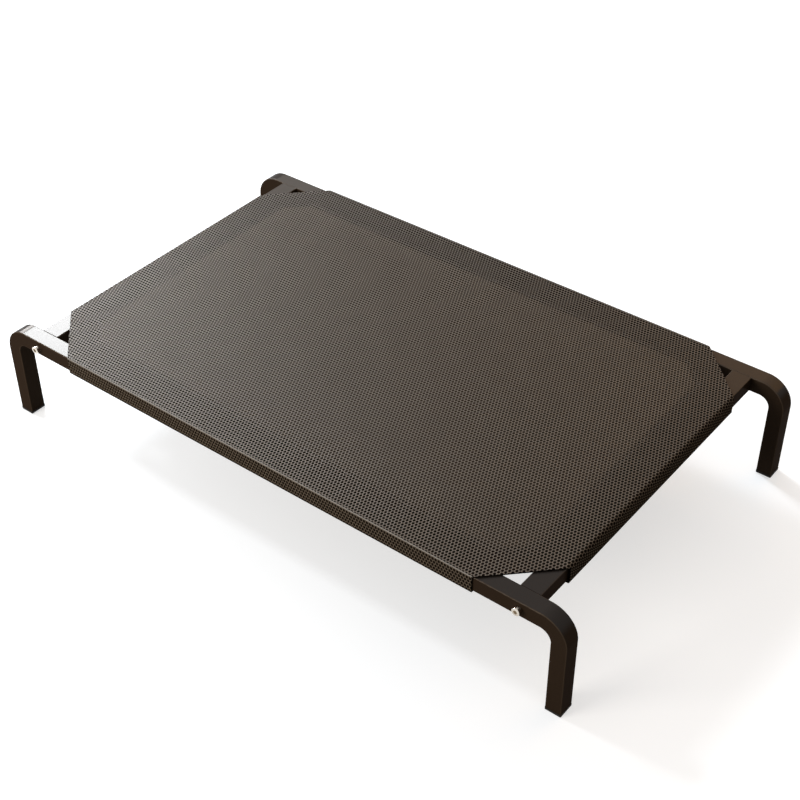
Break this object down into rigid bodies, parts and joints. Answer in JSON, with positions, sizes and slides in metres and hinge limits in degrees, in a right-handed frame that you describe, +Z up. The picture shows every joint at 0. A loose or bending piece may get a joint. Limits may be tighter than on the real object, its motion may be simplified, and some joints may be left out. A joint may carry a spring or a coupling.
{
  "type": "raised dog cot",
  "caption": "Raised dog cot: a taut mesh cover sleeved over a low steel-tube frame whose long rails bend down into the legs, bolted to cross bars.",
  "frame": {"origin": "middle of the footprint, on the floor", "axes": "+X along the long rails, +Y across the cot towards the rear rail, +Z up"},
  "size_m": [1.1008, 0.665, 0.1802],
  "materials": {
    "powder_coat": "semi-gloss black-brown powder coat",
    "bare_steel": "plain mill steel, welded",
    "zinc_plate": "bright zinc plate",
    "foot_plastic": "fine moulded texture",
    "panel_mesh": "open coated mesh weave",
    "sleeve_mesh": "open coated mesh weave",
    "flap_mesh": "open coated mesh weave, doubled"
  },
  "bodies": {
    "root": {"front_rail": "powder_coat", "rear_rail": "powder_coat", "left_cross_bar": "powder_coat", "right_cross_bar": "powder_coat", "front_left_end_plate": "bare_steel", "front_right_end_plate": "bare_steel", "rear_left_end_plate": "bare_steel", "rear_right_end_plate": "bare_steel", "front_left_weld_nut": "bare_steel", "front_right_weld_nut": "bare_steel", "rear_left_weld_nut": "bare_steel", "rear_right_weld_nut": "bare_steel", "front_left_bolt": "zinc_plate", "front_right_bolt": "zinc_plate", "rear_left_bolt": "zinc_plate", "rear_right_bolt": "zinc_plate", "front_left_foot_cap": "foot_plastic", "front_right_foot_cap": "foot_plastic", "rear_left_foot_cap": "foot_plastic", "rear_right_foot_cap": "foot_plastic", "mesh_panel": "panel_mesh", "front_sleeve": "sleeve_mesh", "rear_sleeve": "sleeve_mesh", "left_sleeve": "sleeve_mesh", "right_sleeve": "sleeve_mesh", "front_left_corner_flap": "flap_mesh", "front_right_corner_flap": "flap_mesh", "rear_left_corner_flap": "flap_mesh", "rear_right_corner_flap": "flap_mesh"}
  },
  "joints": []
}
